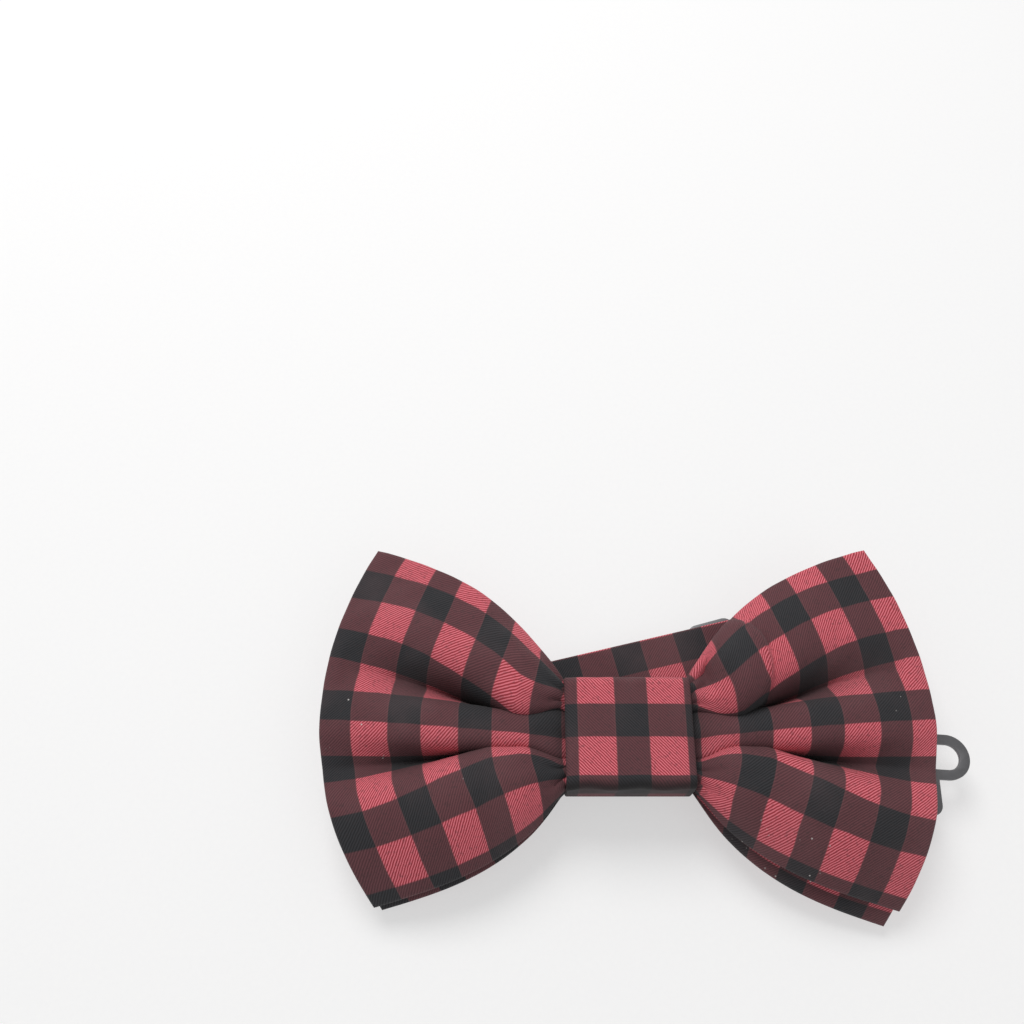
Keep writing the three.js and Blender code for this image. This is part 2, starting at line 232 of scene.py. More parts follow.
def check_twill(name, twill_turn=1, lint=0.0):
    """Check cloth. twill_turn leans the diagonals, and lint is how much of it clings to the cloth."""
    cloth = shader(name, Sheen_Roughness=0.55, Sheen_Weight=0.05)
    uv = coordinates(cloth, "UV")
    parts = node(cloth, "ShaderNodeSeparateXYZ", None, {0: uv})
    along = parts
    across = Sock(cloth, parts.socket.node.outputs[1])
    place = coordinates(cloth)
    wander = noise(cloth, place, 260.0, 2.0) - 0.5
    along_soft = along + wander * EDGE_BLUR
    across_soft = across + wander * -EDGE_BLUR

    def from_black(position):
        """How far a place is from the middle of the nearest black stripe."""
        return ((position + 0.5).wrap() - 0.5).away()

    def stripe(position):
        """1 on the red stripe, with a soft woven border."""
        return from_black(position).step(STRIPE_EDGE - EDGE_BLUR, STRIPE_EDGE + EDGE_BLUR)

    warp = stripe(along_soft)
    weft = stripe(across_soft)
    slope = (along * twill_turn - across) * TWILL_LINES
    shimmer = noise(cloth, place, 700.0, 1.0) - 0.5
    twill = ((slope + shimmer * 0.5) * (2 * math.pi)).sine() * 0.5 + 0.5
    both = warp * weft
    either = (warp + weft).at_most(1.0)
    yarn = noise(cloth, place, 1500.0, 2.0)
    fade = noise(cloth, place, 55.0, 3.0)
    red = mixed((0.36, 0.026, 0.040, 1), (0.86, 0.212, 0.262, 1), twill.step(0.15, 1.0))
    maroon = mixed((0.077, 0.023, 0.029, 1), (0.150, 0.052, 0.060, 1), twill)
    black = mixed((0.010, 0.010, 0.0125, 1), (0.034, 0.034, 0.039, 1), twill)
    colour = mixed(black, maroon, either)
    colour = mixed(colour, red, both)
    border = ((from_black(along_soft) - STRIPE_EDGE).away() < EDGE_BLUR) * (1 - both)
    colour = mixed(colour, (0.20, 0.075, 0.08, 1), border * either * 0.35)
    colour = mixed(colour, (0.03, 0.018, 0.02, 1), (1 - yarn.step(0.25, 0.5)) * 0.35)
    colour = mixed(colour, (0.35, 0.20, 0.21, 1), fade.step(0.45, 0.8) * 0.10)
    if lint:
        speck = node(cloth, "ShaderNodeTexVoronoi", None, {"Vector": place, "Scale": 420.0})
        where = noise(cloth, place, 45.0, 1.0).step(0.60, 0.68)
        colour = mixed(colour, (0.62, 0.60, 0.58, 1), (speck < 0.07) * where * lint)
    # Painted shade: where the attribute on the cloth's points is high, the colour is darkened nearly to
    # black, most deeply in the folds' valleys and on the knot's turned-down sides.
    tuck = node(cloth, "ShaderNodeAttribute", {"attribute_name": "tuck"}, output=2)
    colour = mixed(colour, (0.006, 0.0045, 0.005, 1), tuck)
    feed(cloth, "Base Color", colour)
    feed(cloth, "Roughness", 0.80 + yarn * 0.14)
    height = twill * 0.6 + yarn * 0.5
    feed(cloth, "Normal", bump(cloth, height, 0.00008, 0.55))
    return cloth


bow_cloth = check_twill("bow_twill", 1, 0.8)
knot_cloth = check_twill("knot_twill", -1)
band_cloth = check_twill("band_twill", 1)


def border_lines(start, end, steps, radius):
    """Stations from start to end, crowded round the rolled edge at each end."""
    rolled = radius * (1 - np.cos(np.linspace(0, math.pi / 2, 5)))
    inner = np.linspace(start + radius, end - radius, steps)
    return np.concatenate([start + rolled[:-1], inner, (end - rolled[:-1])[::-1]])


def thin_sheet(name, along, across, thickness, place, checks, material, ends=(True, True), tuck=None):
    """A length of cloth as one closed sheet with rolled edges. place turns (along, across, height
    over the sheet's middle) into points, checks turns (along, across) into lengths of the pattern,
    and the last argument paints shade into the cloth's colour, darkest deep in a fold. ends says which ends
    have an edge."""
    a, b = np.meshgrid(along, across, indexing="ij")
    radius = thickness / 2
    from_side = np.minimum(b - across[0], across[-1] - b)
    from_start = a - along[0] if ends[0] else a * 0 + radius
    from_end = along[-1] - a if ends[1] else a * 0 + radius
    depth = np.clip(np.minimum(from_side, np.minimum(from_start, from_end)) / radius, 0, 1)
    half = radius * np.sqrt(1 - (1 - depth) ** 2)
    top = place(a, b, half)
    bottom = place(a, b, -half)
    rows, columns = a.shape
    index = np.arange(rows * columns).reshape(rows, columns)
    under = index + rows * columns
    shut = half < 1e-9
    under = np.where(shut, index, under)
    points = np.concatenate([top.reshape(-1, 3), bottom.reshape(-1, 3)])

    def quads(grid):
        return np.stack([grid[:-1, :-1], grid[1:, :-1], grid[1:, 1:], grid[:-1, 1:]], -1).reshape(-1, 4)

    faces = [quads(index), quads(under)[:, ::-1]]
    for row, turn in ((0, 1), (rows - 1, -1)):
        if not shut[row, columns // 2]:
            rim = np.stack([index[row, :-1], index[row, 1:], under[row, 1:], under[row, :-1]], -1)
            faces.append(rim[:, ::turn])
    faces = np.concatenate(faces)
    used = np.unique(faces)
    renumber = np.zeros(len(points), int)
    renumber[used] = np.arange(len(used))
    u, v = checks(a, b)
    uv = np.tile(np.stack([u, v], -1).reshape(-1, 2), (2, 1))[used] / CHECK
    polygons = [list(dict.fromkeys(f)) for f in renumber[faces].tolist()]
    mesh = bpy.data.meshes.new(name)
    mesh.from_pydata(points[used].tolist(), [], [p for p in polygons if len(p) > 2])
    layer = mesh.uv_layers.new(name="cloth")
    loops = np.zeros(len(mesh.loops), int)
    mesh.loops.foreach_get("vertex_index", loops)
    layer.data.foreach_set("uv", uv[loops].astype(np.float32).ravel())
    # The painted shade of each point, kept in an attribute by which the cloth's material darkens its
    # colour.
    painted_shade_depth = np.tile((tuck(a, b) if tuck else a * 0).ravel(), 2)[used]
    painted_shade_layer = mesh.attributes.new("tuck", "FLOAT", "POINT")
    painted_shade_layer.data.foreach_set("value", painted_shade_depth.astype(np.float32))
    mesh.polygons.foreach_set("use_smooth", np.ones(len(mesh.polygons), bool))
    mesh.materials.append(material)
    mesh.validate()
    mesh.update()
    piece = bpy.data.objects.new(name, mesh)
    bpy.context.scene.collection.objects.link(piece)
    made = bmesh.new()
    made.from_mesh(mesh)
    bmesh.ops.recalc_face_normals(made, faces=made.faces)
    made.to_mesh(mesh)
    made.free()
    return piece


# ---------------------------------------------------------------- bow
# Two lengths of folded cloth, one on the other, gathered at the waist. In each wing two deep valleys
# run out from the knot, with a narrow fold between them and a full lobe to each side.
ROOT = 12.4 * MM  # where a wing leaves the knot, from its middle
CLOTH_HALF = 38.8 * MM  # half the cloth's width
CLOTH_REACH = 62.0 * MM  # from the middle of the knot to a wing's outer edge, along the cloth
RIDGE_EDGE = 4.4 * MM  # across the cloth: where the middle fold ends,
VALLEY = 11.4 * MM  # the bottom of the valley,
LOBE_START = 18.4 * MM  # and where the lobe begins
# Where the middle, these three places and the cloth's edge lie when the waist is drawn in
GATHERED = np.array([0, 4.5, 4.1, 4.9, 10.0]) * MM
CHECKS_START = 11.3 * MM  # a black stripe's middle falls here along the cloth, from the knot's middle,
CHECKS_RISE = 2.5 * MM  # and across it
WAIST_HALF = 10.0 * MM  # half the gathered waist's height
MOST_FOLDED = 1.7  # the steepest that the folds may get, in radians
knot_low, knot_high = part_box("knot_band")
knot_middle = (knot_low + knot_high) / 2


def mix(a, b, share):
    """A share of the way from a to b."""
    return a + (b - a) * share


def smooth(value, low, high):
    """0 below low and 1 above high, with a smooth ramp between."""
    share = np.clip((value - low) / (high - low), 0, 1)
    return share * share * (3 - 2 * share)


FOLD_STEPS = np.linspace(0, CLOTH_HALF, 241)


def fold_slopes(strength):
    """How steeply the cloth climbs at each step out from the middle of a wing."""
    places = [0, RIDGE_EDGE - 0.0022, RIDGE_EDGE + 0.0008, VALLEY - 0.001, VALLEY + 0.001,
              LOBE_START - 0.002, LOBE_START + 0.005, CLOTH_HALF - 0.007, CLOTH_HALF]
    slopes = [0, -0.20, -1.0, -1.0, 1.0, 1.0, 0.15, -0.30, -0.50]
    return strength[:, None] * np.interp(FOLD_STEPS, places, slopes)[None, :]


def folded_half(width):
    """The folds that fit the cloth's half width into each given width: out and up, step by step."""
    low = np.zeros(len(width))
    high = np.full(len(width), MOST_FOLDED)
    step = FOLD_STEPS[1]
    for _ in range(30):
        middle = (low + high) / 2
        wide = (np.cos(fold_slopes(middle)).mean(1) * CLOTH_HALF) > width
        low = np.where(wide, middle, low)
        high = np.where(wide, high, middle)
    slopes = fold_slopes((low + high) / 2)
    out = np.cumsum(np.cos(slopes), 1) * step
    up = np.cumsum(np.sin(slopes), 1) * step
    return out - out[:, :1], up - up[:, :1]


def valley_painted_shade(a, b):
    """Painted shade: the valleys are painted darkest at the knot, fading out towards the wing's edge, and
    the whole wing is painted darker where it leaves the knot.
    """
    u = np.clip((np.abs(a) - ROOT) / (CLOTH_REACH - ROOT), 0, 1)
    middle = np.where(b > 0, VALLEY + 1.5 * MM * u, VALLEY)
    width = mix(5.8, 4.2, u) * MM
    valley = np.exp(-(((np.abs(b) - middle) / width) ** 2)) * (1 - smooth(u, 0.3, 1.0))
    root = 0.5 * np.exp(-u / 0.05)
    return np.clip(valley * 0.9 + root, 0, 0.9)


def bow_layer(name, shape, material, thickness):
    """Both wings and the waist between them. shape gives a wing's middle surface."""
    half_lines = np.concatenate([np.linspace(0.0, 0.25, 22), np.linspace(0.25, 1.0, 50)[1:]])
    roll = (thickness / 2) / (CLOTH_REACH - ROOT) * (1 - np.cos(np.linspace(0, math.pi / 2, 5)))
    half_lines = np.concatenate([half_lines[:-2], (1 - roll)[::-1]])
    stations = np.concatenate([-(half_lines[::-1] * (CLOTH_REACH - ROOT) + ROOT),
                               half_lines * (CLOTH_REACH - ROOT) + ROOT])
    across = border_lines(-CLOTH_HALF, CLOTH_HALF, 150, thickness / 2)

    def place(a, b, height):
        middle = shape(a, b)
        da = np.gradient(middle, axis=0)
        db = np.gradient(middle, axis=1)
        normal = np.cross(da, db)
        normal /= np.maximum(np.linalg.norm(normal, axis=-1, keepdims=True), 1e-12)
        return middle + normal * height[..., None]

    def checks(a, b):
        return a - CHECKS_START, b - CHECKS_RISE

    return thin_sheet(name, stations, across, thickness, place, checks, material, tuck=valley_painted_shade)


def creases(a, b):
    """The small folds of handled cloth: gathers fanning out of the knot, soft dents, and one curled
    fold in the upper right lobe beside the knot, with a hollow beside it."""
    gather_height = 0.42 * MM
    dent_height = 0.16 * MM
    fine_dent_height = 0.09 * MM
    curl_height = 2.5 * MM
    hollow_depth = 3.0 * MM
    out = np.abs(a)
    gathers = gather_height * np.sin(b / MM * 1.05 + 0.7 * np.sign(a)) * np.exp(-((out - ROOT) / (7 * MM)))
    dents = dent_height * np.sin(a / MM * 0.34 + 1.3 * np.sin(b / MM * 0.13)) * np.sin(b / MM * 0.27 + 0.6)
    dents += fine_dent_height * np.sin(a / MM * 0.71 - b / MM * 0.52) * np.sin(b / MM * 0.41 - a / MM * 0.2)
    climb = np.clip((b / MM - 15) / 24, 0, 1)
    rim = (24.5 + 6.0 * np.sin(math.pi * climb * 0.92)) * MM
    curl = 1 - smooth(a, rim - 0.4 * MM, rim + 1.2 * MM)
    curl = curl * smooth(a, 18 * MM, 25 * MM) * smooth(b, 14 * MM, 20 * MM)
    hollow = np.exp(-(((a - 18.6 * MM) / (2.8 * MM)) ** 2) - ((b - 31 * MM) / (5 * MM)) ** 2)
    return gathers + dents + curl * curl_height - hollow * hollow_depth


def wing_surface(a, b, look):
    """The middle surface of both wings: a runs along the cloth from the knot, b across it. The upper
    and the lower half of a wing are folded by themselves, from the middle fold out to the corner."""
    side = np.sign(a)
    u = np.clip((np.abs(a) - ROOT) / (CLOTH_REACH - ROOT), 0, 1)
    opening = u + u * (1 - u) * (1.0 - 0.5 * u)
    column_u = u[:, 0]
    column_opening = opening[:, 0]
    column_side = side[:, 0]
    v = b / CLOTH_HALF
    result = np.zeros(a.shape + (3,))
    for sign in (1, -1):
        mask = v[0] * sign >= 0
        right = column_side > 0
        edge = np.where(right, look["right"][sign][1], look["left"][sign][1]) * MM
        width = mix(WAIST_HALF, np.abs(edge), column_opening)
        out, up = folded_half(width)
        steps = np.abs(b[0, mask])
        rows_out = np.array([np.interp(steps, FOLD_STEPS, row) for row in out])
        rows_up = np.array([np.interp(steps, FOLD_STEPS, row) for row in up])
        gathered = np.interp(steps, [0, RIDGE_EDGE, VALLEY, LOBE_START, CLOTH_HALF], GATHERED)
        rows_out = mix(gathered[None, :], rows_out, smooth(column_u, 0.0, 0.2)[:, None])
        rows_out = rows_out * width[:, None] / rows_out.max(1, keepdims=True)
        ease = smooth(column_u, 0.45, 1.0)[:, None]
        even = steps[None, :] / CLOTH_HALF * rows_out.max(1, keepdims=True)
        rows_out = mix(rows_out, even, 0.75 * ease)
        rows_up = np.where(rows_up > 0, rows_up * look["lobe"], rows_up * look["depth"])
        shrink = mix(0.25, 1.0, smooth(column_u, 0.0, 0.22))
        shrink = shrink * mix(1.0, 0.5, smooth(column_u, 0.4, 1.0))
        centre = look["centre"] * MM * column_u[:, None]
        result[:, mask, 1] = sign * rows_out + centre * (1 - np.abs(v[:, mask]))
        result[:, mask, 2] = rows_up * shrink[:, None]
        corner_x = np.where(right, look["right"][sign][0], look["left"][sign][0])[:, None] * MM
        spread = rows_out / rows_out.max(1, keepdims=True)
        edge_x = mix(look["reach"] * MM, corner_x, spread ** 2.1)
        late = 0.19 * u[:, mask] * (1 - u[:, mask]) * smooth(spread, 0.25, 0.8)
        result[:, mask, 0] = side[:, mask] * mix(ROOT, edge_x, u[:, mask] - late)
        corner_z = look["corner_height"][sign] * MM
        end_z = mix(look["edge_height"] * MM, corner_z, spread ** 2.5)
        swell = look["swell"] * MM * np.sin(math.pi * u[:, mask])
        crest = look["waist_height"] * MM + swell
        result[:, mask, 2] += mix(crest, end_z + (crest - look["waist_height"] * MM), u[:, mask] ** 1.3)
    result[..., 2] += creases(a, b) * look["creases"]
    result[..., 0] += knot_middle.x
    result[..., 1] += knot_middle.y
    return result


# Lengths in mm. A corner is out from the knot's middle and up or down from it, by side and by 1 for
# the upper and -1 for the lower corner. reach and centre place the middle of a wing's outer edge in
# the same way. Heights are above the table, swell is how far a wing bulges halfway out, and depth,
# lobe and creases scale the valleys, the lobes and the small folds.
front_look = {
    "right": {1: (52.9, 39.8), -1: (52.3, -32.3)},
    "left": {1: (52.2, 39.6), -1: (50.2, -31.6)},
    "reach": 62.0,
    "centre": 3.6,
    "depth": 1.0,
    "lobe": 1.0,
    "waist_height": 14.4,
    "edge_height": 15.0,
    "corner_height": {1: 15.5, -1: 6.0},
    "swell": 2.6,
    "creases": 1.0,
}
back_look = {
    "right": {1: (52.3, 38.6), -1: (49.6, -34.9)},
    "left": {1: (51.6, 38.8), -1: (48.9, -31.9)},
    "reach": 60.4,
    "centre": 2.4,
    "depth": 0.45,
    "lobe": 0.95,
    "waist_height": 10.7,
    "edge_height": 12.6,
    "corner_height": {1: 12.0, -1: 3.0},
    "swell": 0.3,
    "creases": 0.25,
}


LAYER_GAP = 1.45 * MM  # between the middles of the two layers where they lie closest
LAYER_EASE = 0.4 * MM  # how gradually the front layer comes to rest


def front_surface(a, b):
    """The front layer lies on the back one, so its valleys stop on it."""
    front = wing_surface(a, b, front_look)
    lift = wing_surface(a, b, back_look)[..., 2] + LAYER_GAP - front[..., 2]
    front[..., 2] += np.log1p(np.exp(np.clip(lift / LAYER_EASE, -40, 40))) * LAYER_EASE
    return front


def back_surface(a, b):
    return wing_surface(a, b, back_look)


front_bow = bow_layer("front_bow_cloth", front_surface, bow_cloth, 1.5 * MM)
back_bow = bow_layer("back_bow_cloth", back_surface, bow_cloth, 1.2 * MM)
for layer, cad in ((front_bow, "front_bow"), (back_bow, "back_bow")):
    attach(layer, "bow")
    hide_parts(cad)


# ---------------------------------------------------------------- knot
# A short band of the same cloth, folded in at both edges and wrapped once round the waist of the
# two bow layers and the neckband. Its ends meet behind, where they are sewn together.
KNOT_WALL = 0.9 * MM
KNOT_ROUNDING = 1.35 * MM
KNOT_CROWN = 0.55 * MM  # how far its face swells


def rounded_route(corners, radius):
    """A route through corners in a plane, each turned with an arc of the radius."""
    points = [np.array(corners[0])]
    for before, corner, after in zip(corners[:-2], corners[1:-1], corners[2:]):
        corner = np.array(corner)
        back = (np.array(before) - corner) / np.linalg.norm(np.array(before) - corner)
        on = (np.array(after) - corner) / np.linalg.norm(np.array(after) - corner)
        angle = math.acos(np.clip(back @ on, -1, 1))
        reach = radius / math.tan(angle / 2)
        centre = corner + (back + on) / np.linalg.norm(back + on) * radius / math.sin(angle / 2)
        first = corner + back * reach - centre
        last = corner + on * reach - centre
        for share in np.linspace(0, 1, 9):
            turn = first * (1 - share) + last * share
            points.append(centre + turn / np.linalg.norm(turn) * radius)
    points.append(np.array(corners[-1]))
    return np.array(points)


def route_length(route):
    return np.linalg.norm(np.diff(route, axis=0), axis=1).sum()


def on_route(route, distance, height):
    """Points at a distance along a plane route and a height to its left."""
    steps = np.linalg.norm(np.diff(route, axis=0), axis=1)
    keep = np.concatenate([[True], steps > 1e-9])
    route = route[keep]
    reached = np.concatenate([[0], np.cumsum(np.linalg.norm(np.diff(route, axis=0), axis=1))])
    first = np.interp(distance, reached, route[:, 0])
    second = np.interp(distance, reached, route[:, 1])
    ahead = 0.12 * MM
    on_first = np.interp(distance + ahead, reached, route[:, 0])
    on_first = on_first - np.interp(distance - ahead, reached, route[:, 0])
    on_second = np.interp(distance + ahead, reached, route[:, 1])
    on_second = on_second - np.interp(distance - ahead, reached, route[:, 1])
    size = np.maximum(np.hypot(on_first, on_second), 1e-12)
    return first - on_second / size * height, second + on_first / size * height


knot_inner = KNOT_WALL / 2
knot_route = rounded_route([
    (knot_middle.y + 0.15 * MM, knot_low.z + knot_inner),
    (knot_high.y - knot_inner, knot_low.z + knot_inner),
    (knot_high.y - knot_inner, knot_high.z - knot_inner),
    (knot_low.y + knot_inner, knot_high.z - knot_inner),
    (knot_low.y + knot_inner, knot_low.z + knot_inner),
    (knot_middle.y - 0.15 * MM, knot_low.z + knot_inner),
], KNOT_ROUNDING)
knot_wrap = route_length(knot_route)
knot_half = (knot_high.x - knot_low.x) / 2


def knot_place(a, b, height):
    """The wrap, with a face that swells, puckers at its hems and waves along the lower one."""
    y, z = on_route(knot_route, b, height)
    share = a / knot_half
    face = smooth(z, knot_middle.z, knot_high.z)
    x = knot_middle.x + a
    z = z + face * KNOT_CROWN * (1 - share ** 4) * np.cos((y - knot_middle.y) / knot_half * 1.2)
    low_hem = smooth(-(y - knot_middle.y), knot_half * 0.6, knot_half * 0.95)
    y = y + low_hem * 0.28 * MM * np.sin(a / MM * 0.62 + 0.6) * face
    z = z - face * 0.16 * MM * smooth(np.abs(share), 0.78, 0.97)
    pucker = 0.10 * MM * np.sin(a / MM * 1.15 + 0.8 * np.sin(b / MM * 0.9))
    pucker = pucker * smooth(np.abs(y - knot_middle.y), 0.006, 0.011)
    return np.stack([x, y, z + pucker * face], -1)


def knot_painted_shade(a, b):
    """Painted shade on the knot: its sides turn down into the gap between the wings and are painted dark,
    the lower one darkest, and its two ends a little.
    """
    face_half = (knot_high.y - knot_low.y) / 2
    upper = knot_wrap / 2 - b - face_half
    lower = b - knot_wrap / 2 - face_half
    walls = 0.62 * smooth(upper, -1.5 * MM, 1.5 * MM) + 0.8 * smooth(lower, -2.2 * MM, -0.6 * MM)
    return walls + 0.15 * smooth(np.abs(a) / knot_half, 0.93, 1.0)


def knot_checks(a, b):
    return a - 0.5 * MM, -(b - knot_wrap / 2) - 2.0 * MM


knot = thin_sheet(
    "knot_cloth",
    border_lines(-knot_half, knot_half, 60, KNOT_WALL / 2),
    border_lines(0, knot_wrap, 190, KNOT_WALL / 2),
    KNOT_WALL,
    knot_place,
    knot_checks,
    knot_cloth,
    tuck=knot_painted_shade,
)
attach(knot, "bow")
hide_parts("knot_band")

# ---------------------------------------------------------------- knot's lining
# A slip of stiff white non-woven, cut a little smaller than the knot's face and laid loose under it,
# where it keeps the face smooth.
LINING_WALL = 0.3 * MM
lining_low, lining_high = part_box("knot_interlining")
lining_cloth = shader("non_woven", Roughness=0.95)
lining_fibre = noise(lining_cloth, coordinates(lining_cloth), 1100.0, 4.0, Distortion=1.5)
feed(lining_cloth, "Base Color", mixed((0.58, 0.56, 0.52, 1), (0.80, 0.78, 0.74, 1), lining_fibre))
feed(lining_cloth, "Normal", bump(lining_cloth, lining_fibre, 0.00008, 0.6))
lining_size = lining_high - lining_low


def lining_place(a, b, height):
    arch = 0.3 * MM * np.cos(b / lining_size.y * math.pi)
    y = (lining_low.y + lining_high.y) / 2 + b
    return np.stack([knot_middle.x + a, y, lining_low.z + 0.2 * MM + arch + height], -1)


lining = thin_sheet(
    "knot_lining",
    border_lines(-lining_size.x / 2, lining_size.x / 2, 24, LINING_WALL / 2),
    border_lines(-lining_size.y / 2, lining_size.y / 2, 24, LINING_WALL / 2),
    LINING_WALL,
    lining_place,
    lambda a, b: (a, b),
    lining_cloth,
)
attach(lining, "bow")
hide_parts("knot_interlining")

# ---------------------------------------------------------------- thread
# Dark sewing thread: turns wound tightly round the waist of the bow under the knot, and rows of
# zigzag stitching behind the knot and through the band's two sewn ends.
THREAD_RADIUS = 0.17 * MM
SEAM_WIDTH = 2.6 * MM  # across a zigzag
SEAM_SPARE = 4 * MM  # left unsewn at the two sides of a piece, together
thread_yarn = shader("sewing_thread", Roughness=0.62, Sheen_Weight=0.2)
yarn_place = coordinates(thread_yarn)
yarn_twist = noise(thread_yarn, yarn_place, 3800.0, 2.0)
yarn_slub = noise(thread_yarn, yarn_place, 500.0, 2.0)
yarn_colour = mixed((0.022, 0.010, 0.012, 1), (0.10, 0.045, 0.052, 1), yarn_twist * 0.7 + yarn_slub * 0.3)
feed(thread_yarn, "Base Color", yarn_colour)
feed(thread_yarn, "Normal", bump(thread_yarn, yarn_twist, 0.00006, 0.7))


def thread_run(name, points, radius):
    """A length of thread through the points, as a closed mesh."""
    data = bpy.data.curves.new(name, "CURVE")
    data.dimensions = "3D"
    data.bevel_depth = radius
    data.bevel_resolution = 2
    data.use_fill_caps = True
    spline = data.splines.new("POLY")
    spline.points.add(len(points) - 1)
    spline.points.foreach_set("co", np.column_stack([points, np.ones(len(points))]).ravel())
    data.materials.append(thread_yarn)
    piece = bpy.data.objects.new(name, data)
    bpy.context.scene.collection.objects.link(piece)
    bpy.ops.object.select_all(action="DESELECT")
    piece.select_set(True)
    bpy.context.view_layer.objects.active = piece
    bpy.ops.object.convert(target="MESH")
    bpy.ops.object.shade_smooth()
    bpy.ops.object.select_all(action="DESELECT")
    return piece


winding_low, winding_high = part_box("waist_thread")
winding_turns = 17
WINDING_ROUNDING = 1.1 * MM  # at the four corners of the waist
winding_inset = 0.2 * MM
winding_half_y = (winding_high.y - winding_low.y) / 2 - winding_inset
winding_half_z = (winding_high.z - winding_low.z) / 2 - winding_inset
winding_loop = rounded_route([
    (0, winding_half_z),
    (winding_half_y, winding_half_z),
    (winding_half_y, -winding_half_z),
    (-winding_half_y, -winding_half_z),
    (-winding_half_y, winding_half_z),
    (0, winding_half_z),
], WINDING_ROUNDING)
loop_length = route_length(winding_loop)
wound = np.linspace(0, winding_turns * loop_length, winding_turns * 44)
loop_y, loop_z = on_route(winding_loop, wound % loop_length, 0)
winding_points = np.stack([
    mix(winding_low.x + winding_inset, winding_high.x - winding_inset, wound / wound[-1]),
    (winding_low.y + winding_high.y) / 2 + loop_y,
    (winding_low.z + winding_high.z) / 2 + loop_z,
], -1)
winding = thread_run("waist_winding", winding_points, 0.2 * MM)
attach(winding, "bow")
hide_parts("waist_thread")


def stitch_row(name, middle, along, across, out, length, width, pitch=1.7 * MM):
    """Zigzag stitches: the thread crosses the seam on the cloth and dips in at every turn."""
    turns = max(2, round(length / pitch))
    middle, along, across, out = (np.array(v) for v in (middle, along, across, out))
    points = []
    for i in range(turns):
        for share in np.linspace(0, 1, 7)[:-1]:
            x = ((i + share) / turns - 0.5) * length
            y = (0.5 - share) * width * (1 if i % 2 else -1)
            lift = 0.30 * MM * math.sin(math.pi * share) ** 0.5 - 0.10 * MM
            points.append(middle + along * x + across * y + out * lift)
    return thread_run(name, np.array(points), THREAD_RADIUS)


knot_seam = stitch_row("knot_seam_thread", (knot_middle.x, knot_middle.y, knot_low.z + 0.03 * MM),
                       (1, 0, 0), (0, 1, 0), (0, 0, -1), 2 * knot_half - SEAM_SPARE, SEAM_WIDTH)
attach(knot_seam, "bow")
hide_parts("knot_seam_stitches")

# ---------------------------------------------------------------- neckband
# One long strap of the same cloth, two plies thick. It runs behind the knot from the ring end to the
# first crease, back behind the wings to the second, and back again to the hook, where it turns
# round the hook's bar and ends sewn round the slider's middle bar.
BAND_HALF = 10 * MM
PLY = 0.8 * MM
STRAP_STEP = 0.45 * MM  # between two lines of its mesh
STRAP_CHECKS_RISE = 6.4 * MM  # a black stripe's middle falls here across the strap,
STRAP_CHECKS_START = 51 * MM  # and here along it, from the first crease
OVERRUN = 3 * MM  # how far the hook's loop reaches into the return
eye_low, eye_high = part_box("eye")
slider_low, slider_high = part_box("slider")
run_heights = {"centre": 9.0 * MM, "second": 6.1 * MM, "third": 3.8 * MM, "return": 0.4 * MM}
joints = {joint["name"]: joint for joint in frame["joints"]}
first_crease = np.array(joints["band_fold_1"]["pos_m"][:2])
second_crease = np.array(joints["band_fold_2"]["pos_m"][:2])
hook_bar = np.array(joints["hook_swing"]["pos_m"][:2])
second_way = (second_crease - first_crease) / np.linalg.norm(second_crease - first_crease)
third_way = np.array(joints["hook_shift"]["axis"][:2])
first_out = np.array([-joints["band_fold_1"]["axis"][1], joints["band_fold_1"]["axis"][0]])
second_out = np.array([-joints["band_fold_2"]["axis"][1], joints["band_fold_2"]["axis"][0]])


def laid_flat(start, way, a, b, z):
    """Points of a flat strap: a along its way from start, b across it to the left."""
    x = start[0] + way[0] * a - way[1] * b
    y = start[1] + way[1] * a + way[0] * b
    return np.stack([x, y, z], -1)


def fold_under(points, crease, out, upper, lower):
    """Folds what lies past a crease down and back under, round a half turn."""
    radius = (upper - lower) / 2
    past = (points[..., :2] - crease) @ out
    height = points[..., 2] - upper
    turn = np.clip(past / radius, 0, math.pi)
    back = np.maximum(past - math.pi * radius, 0)
    reach = np.minimum(past, 0) + (radius + height) * np.sin(turn) - back
    folded = points.copy()
    folded[..., :2] += (reach - past)[..., None] * out
    folded[..., 2] = upper - radius + (radius + height) * np.cos(turn)
    return folded


def strap(name, start, end, place, pattern_start, ends, turned=1, mirrored=1):
    """A length of strap. turned and mirrored lay the pattern so that it runs on from its neighbour."""
    steps = max(8, int(abs(end - start) / STRAP_STEP))
    along = border_lines(start, end, steps, PLY / 2)
    across = border_lines(-BAND_HALF, BAND_HALF, 22, PLY / 2)

    def checks(a, b):
        return turned * a + pattern_start, mirrored * b - STRAP_CHECKS_RISE

    piece = thin_sheet(name, along, across, PLY, place, checks, band_cloth, ends)
    return piece


centre_split = knot_middle.x + 2 * MM
first_turn = math.pi * (run_heights["centre"] - run_heights["second"]) / 2
second_turn = math.pi * (run_heights["second"] - run_heights["third"]) / 2
hook_turn = math.pi * (run_heights["third"] - run_heights["return"]) / 2
to_first = centre_split - first_crease[0]
second_split = 20 * MM
second_length = np.linalg.norm(second_crease - first_crease)
third_split = 20 * MM
third_length = (hook_bar - second_crease) @ third_way


def first_fold_place(a, b, height):
    flat = laid_flat((centre_split, knot_middle.y), (-1, 0), a, b, run_heights["centre"] + height)
    out = first_out * np.sign(first_out[0]) * -1
    return fold_under(flat, first_crease, out, run_heights["centre"], run_heights["second"])


def second_fold_place(a, b, height):
    flat = laid_flat(first_crease, second_way, a, b, run_heights["second"] + height)
    out = second_out * np.sign(second_out[0])
    return fold_under(flat, second_crease, out, run_heights["second"], run_heights["third"])


def hook_turn_place(a, b, height):
    flat = laid_flat(second_crease, third_way, a, b, run_heights["third"] + height)
    return fold_under(flat, hook_bar, third_way, run_heights["third"], run_heights["return"])


def return_place(a, b, height):
    return laid_flat(second_crease, third_way, a, b, run_heights["return"] + height)


